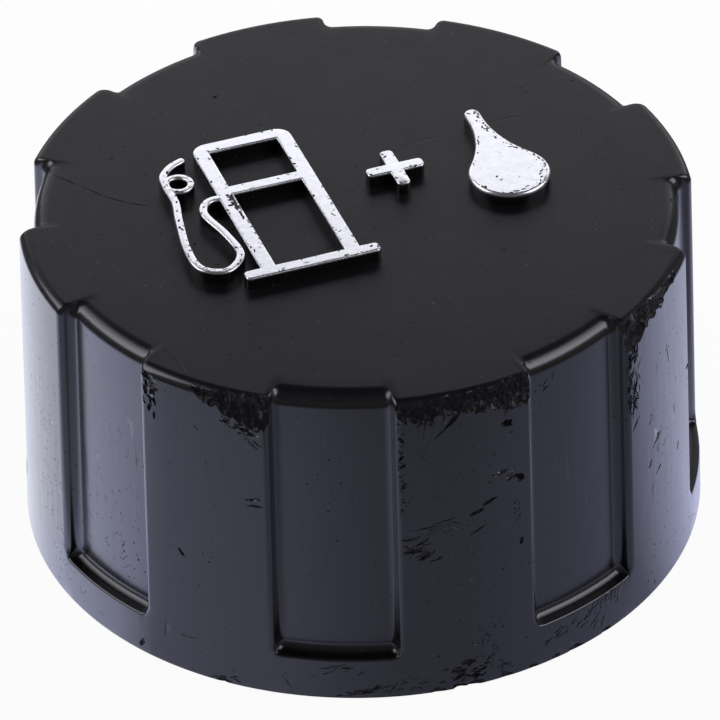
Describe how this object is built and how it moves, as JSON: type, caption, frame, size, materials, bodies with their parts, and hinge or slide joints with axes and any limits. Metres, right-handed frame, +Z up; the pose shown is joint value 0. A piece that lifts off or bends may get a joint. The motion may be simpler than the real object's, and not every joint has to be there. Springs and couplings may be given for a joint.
{
  "type": "fuel filler cap",
  "caption": "Screw cap for the fuel tank of a small petrol engine, with grip lobes, a raised pump, plus and drop sign, a gasket and a sprung vent valve inside.",
  "frame": {"origin": "centre of the rim's plane, on which the cap stands", "axes": "+Z up out of the top face, along the thread's axis; +X through the middle of a grip lobe, along the raised sign from the pump to the drop"},
  "size_m": [0.051, 0.051, 0.0276],
  "materials": {
    "black_plastic": "satin black moulding, scuffed and chipped at three lobes",
    "silver_foil": "hot-stamped silver foil with pin holes and worn edges",
    "black_rubber": "matt",
    "white_plastic": "natural moulding, smooth",
    "spring_steel": "bright wire",
    "grey_foam": "open-cell foam"
  },
  "bodies": {
    "cap": {"cap_shell": "black_plastic", "sealing_gasket": "black_rubber", "vent_deck": "white_plastic", "valve_spring": "spring_steel", "breather_foam": "grey_foam", "splash_baffle": "white_plastic", "fuel_pump_foil": "silver_foil", "plus_foil": "silver_foil", "oil_drop_foil": "silver_foil"},
    "valve": {"valve_poppet": "white_plastic", "valve_seal": "black_rubber", "spring_retainer": "spring_steel"}
  },
  "joints": [
    {"name": "valve_slide", "type": "slide", "parent": "cap", "child": "valve", "axis": [0, 0, -1], "range_m": [0, 0.0012], "stiffness_N_per_m": 120, "springref_m": -0.003, "deforming": ["valve_spring"]}
  ]
}
